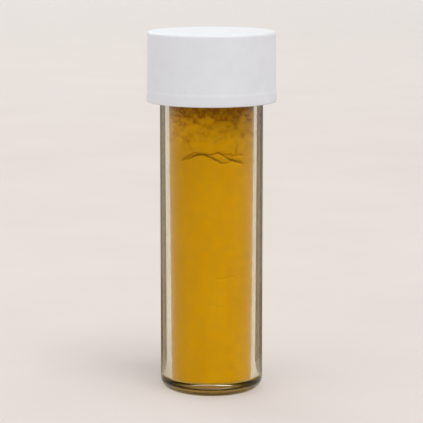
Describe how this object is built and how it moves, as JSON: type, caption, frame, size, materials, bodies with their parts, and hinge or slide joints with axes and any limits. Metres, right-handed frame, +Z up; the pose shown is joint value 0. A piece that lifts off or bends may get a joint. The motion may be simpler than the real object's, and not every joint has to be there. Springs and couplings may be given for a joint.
{
  "type": "sample vial",
  "caption": "Clear cylindrical screw-cap vial with a white cap and liner, filled with caked ochre-gold mineral powder.",
  "frame": {"origin": "centre of the vial's standing face", "axes": "+Z up along the vial's axis towards the cap, -Y towards the front, +X to the right seen from the front"},
  "size_m": [0.0212, 0.0212, 0.0595],
  "materials": {
    "clear_plastic": "clear, polished",
    "white_plastic": "satin",
    "liner_foam": "matte",
    "ochre_powder": "matte, powdery"
  },
  "bodies": {
    "vial": {"vial_body": "clear_plastic", "powder_column": "ochre_powder", "powder_upper": "ochre_powder", "powder_clump": "ochre_powder"},
    "liner": {"cap_liner": "liner_foam"},
    "cap": {"screw_cap": "white_plastic"}
  },
  "joints": [
    {"name": "cap_rise", "type": "slide", "parent": "vial", "child": "liner", "axis": [0, 0, 1], "range_m": [0, 0.0121]},
    {"name": "cap_turn", "type": "hinge", "parent": "liner", "child": "cap", "pos_m": [0, 0, 0.0538], "axis": [0, 0, 1], "range_deg": [0, 1440]}
  ],
  "couplings": [
    {"joint": "cap_rise", "follows": "cap_turn", "m_per_rad": 0.00047746}
  ]
}
